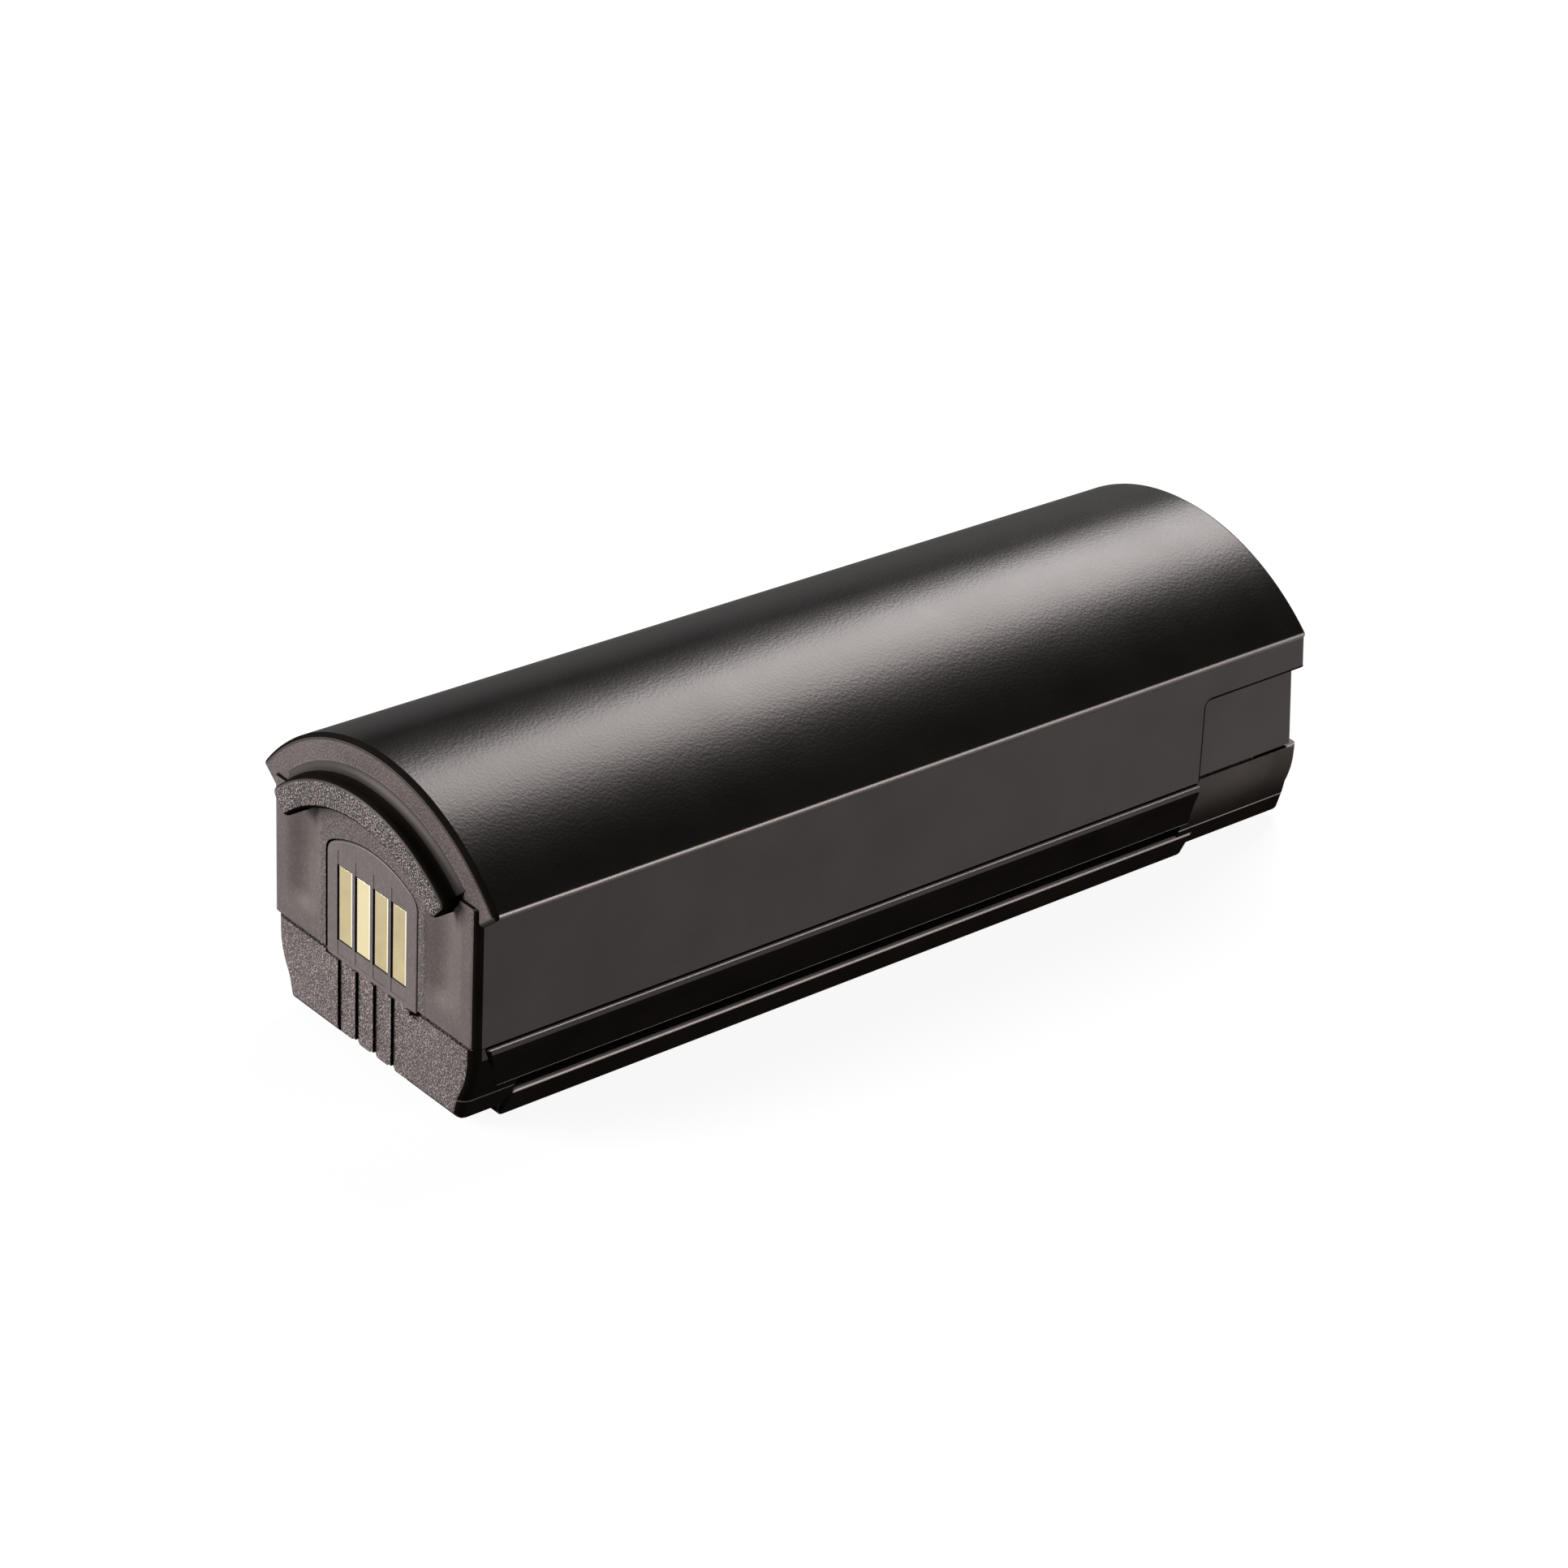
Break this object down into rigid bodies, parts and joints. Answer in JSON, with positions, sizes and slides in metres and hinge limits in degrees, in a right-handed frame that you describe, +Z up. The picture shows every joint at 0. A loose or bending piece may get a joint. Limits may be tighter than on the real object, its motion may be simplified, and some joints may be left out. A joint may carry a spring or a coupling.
{
  "type": "rechargeable battery pack",
  "caption": "Removable lithium-ion pack with an arched black housing, fluted base with runners, and flat gold contacts at one end, built round a single round cell.",
  "frame": {"origin": "centre of the pack's bounding box in plan, on the plane of the runners' feet", "axes": "+X along the pack, from the contact end to the plain end; +Z up through the arched top; Y across"},
  "size_m": [0.0764, 0.0256, 0.023],
  "materials": {
    "cap_black": "fine spark-eroded black",
    "base_black": "satin to glossy black",
    "plate_black": "smooth satin black",
    "contact_gold": "pale gold plating",
    "can_steel": "nickel-plated steel",
    "electrode_roll": "wound foil",
    "gasket": "dark moulded ring",
    "sleeve": "shrink film",
    "paper": "plain insulating paper",
    "nickel": "bright nickel",
    "board_green": "solder mask",
    "chip_black": "moulded package",
    "capacitor": "ceramic",
    "fuse": "ceramic",
    "bead": "dipped resin",
    "foam": "closed-cell foam"
  },
  "bodies": {
    "root": {"upper_shell": "cap_black", "lower_shell": "base_black", "terminal_block": "plate_black", "contact_plus": "contact_gold", "contact_sense": "contact_gold", "contact_data": "contact_gold", "contact_minus": "contact_gold", "cell_can": "can_steel", "electrode_roll": "electrode_roll", "cell_gasket": "gasket", "cell_cap": "can_steel", "cell_sleeve": "sleeve", "end_washer": "paper", "positive_tab": "nickel", "negative_strip": "nickel", "strip_insulator": "paper", "circuit_board": "board_green", "mosfet_pair": "chip_black", "gauge_chip": "chip_black", "shunt_resistor": "chip_black", "chip_capacitors": "capacitor", "thermal_fuse": "fuse", "thermistor": "bead", "rear_pad": "foam"}
  },
  "joints": []
}
